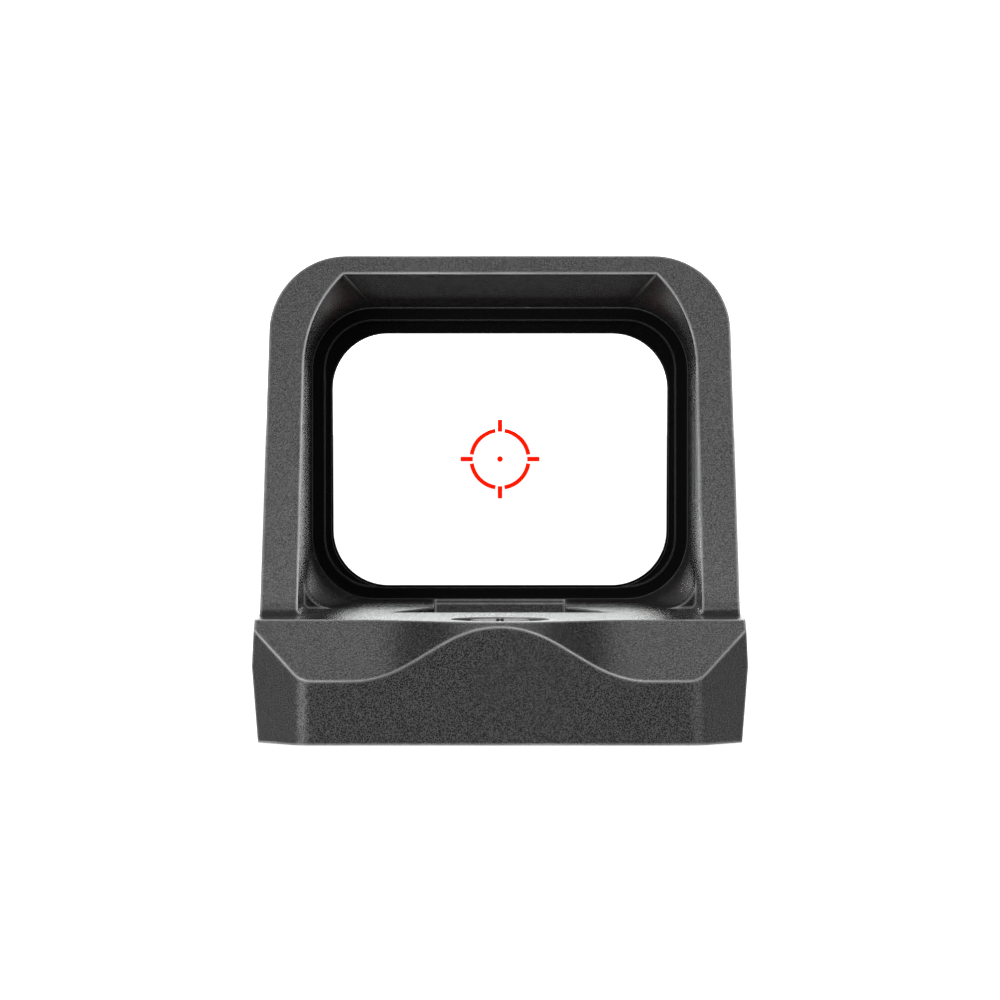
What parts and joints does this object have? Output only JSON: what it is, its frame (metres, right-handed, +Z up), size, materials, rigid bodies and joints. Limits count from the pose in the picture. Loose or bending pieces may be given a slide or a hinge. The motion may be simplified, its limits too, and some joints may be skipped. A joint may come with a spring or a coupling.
{
  "type": "red dot finder",
  "caption": "Compact open reflex sight with a hooded tilted lens, screw adjusters, side keypad and a drawer for its coin cell.",
  "frame": {"origin": "middle of the underside", "axes": "+X to the right seen from the eye, +Y towards the target, +Z up"},
  "size_m": [0.0316, 0.046, 0.0315],
  "materials": {
    "anodised_housing": "black anodised, bead blasted",
    "black_ring": "flat black anodised",
    "lens_glass": "coated glass",
    "window_glass": "clear glass",
    "seal_rubber": "matt black elastomer",
    "button_rubber": "matt black elastomer with pressed signs",
    "black_steel": "black oxide",
    "spring_steel": "bright wire",
    "slide_metal": "plain machined",
    "nut_brass": "turned",
    "circuit_board": "solder mask over glass fibre",
    "chip_resin": "moulded",
    "flex_film": "polyimide film",
    "led_resin": "clear red resin",
    "mask_foil": "etched foil",
    "contact_metal": "plated spring leaf",
    "cell_steel": "bright can"
  },
  "bodies": {
    "base": {"housing": "anodised_housing", "keypad_cover": "anodised_housing", "bottom_plate": "anodised_housing", "lens_bezel": "black_ring", "lens_retainer": "black_ring", "lens_rear_element": "lens_glass", "lens_front_element": "lens_glass", "lens_seal": "seal_rubber", "emitter_window": "window_glass", "bottom_gasket": "seal_rubber", "bottom_plate_screws": "black_steel", "main_board": "circuit_board", "board_components": "chip_resin", "brightness_switches": "chip_resin", "battery_contact_positive": "contact_metal", "battery_contact_negative": "contact_metal", "keypad_cover_screws": "black_steel", "keypad_membrane": "seal_rubber", "click_washers": "spring_steel", "guide_pins": "spring_steel", "emitter_flex": "flex_film", "elevation_spring": "spring_steel", "windage_spring": "spring_steel"},
    "elevation_adjuster": {"elevation_dial": "black_steel", "elevation_oring": "seal_rubber", "elevation_clip": "spring_steel"},
    "windage_adjuster": {"windage_dial": "black_steel", "windage_oring": "seal_rubber", "windage_clip": "spring_steel"},
    "windage_carriage": {"cross_slide": "slide_metal"},
    "emitter_carriage": {"emitter_block": "slide_metal", "led_board": "circuit_board", "led_chip": "led_resin", "reticle_mask": "mask_foil"},
    "nut_carriage": {"elevation_nut": "nut_brass"},
    "brighter_button": {"button_plus": "button_rubber", "switch_plunger_plus": "chip_resin"},
    "dimmer_button": {"button_minus": "button_rubber", "switch_plunger_minus": "chip_resin"},
    "cell_drawer": {"battery_tray": "anodised_housing", "battery_cell": "cell_steel", "tray_seal": "seal_rubber"},
    "drawer_lock": {"tray_screw": "black_steel"}
  },
  "joints": [
    {"name": "emitter_travel", "type": "slide", "parent": "windage_carriage", "child": "emitter_carriage", "axis": [0, 0, 1], "range_m": [-0.0003, 0.0003], "deforming": ["elevation_spring"]},
    {"name": "elevation_turn", "type": "hinge", "parent": "base", "child": "elevation_adjuster", "pos_m": [0, -0.0186, 0.0077], "axis": [0, 0, 1], "range_deg": [-361, 361]},
    {"name": "nut_travel", "type": "slide", "parent": "base", "child": "nut_carriage", "axis": [0, 0, 1], "range_m": [-0.000301, 0.000301]},
    {"name": "windage_travel", "type": "slide", "parent": "base", "child": "windage_carriage", "axis": [1, 0, 0], "range_m": [-0.0003, 0.0003], "deforming": ["windage_spring", "emitter_flex"]},
    {"name": "windage_turn", "type": "hinge", "parent": "base", "child": "windage_adjuster", "pos_m": [0.01563, -0.014, 0.004], "axis": [1, 0, 0], "range_deg": [-361, 361]},
    {"name": "brighter_press", "type": "slide", "parent": "base", "child": "brighter_button", "axis": [1, 0, 0], "range_m": [0, 0.0003], "stiffness_N_per_m": 800},
    {"name": "dimmer_press", "type": "slide", "parent": "base", "child": "dimmer_button", "axis": [1, 0, 0], "range_m": [0, 0.0003], "stiffness_N_per_m": 800},
    {"name": "drawer_slide", "type": "slide", "parent": "base", "child": "cell_drawer", "axis": [1, 0, 0], "range_m": [0, 0.022]},
    {"name": "drawer_lock_turn", "type": "hinge", "parent": "cell_drawer", "child": "drawer_lock", "pos_m": [0.01485, 0.0099, 0.00295], "axis": [1, 0, 0], "range_deg": [0, 1080]}
  ],
  "couplings": [
    {"joint": "elevation_turn", "follows": "emitter_travel", "rad_per_m": -20944},
    {"joint": "nut_travel", "follows": "emitter_travel", "ratio": 1},
    {"joint": "windage_turn", "follows": "windage_travel", "rad_per_m": -20944}
  ]
}
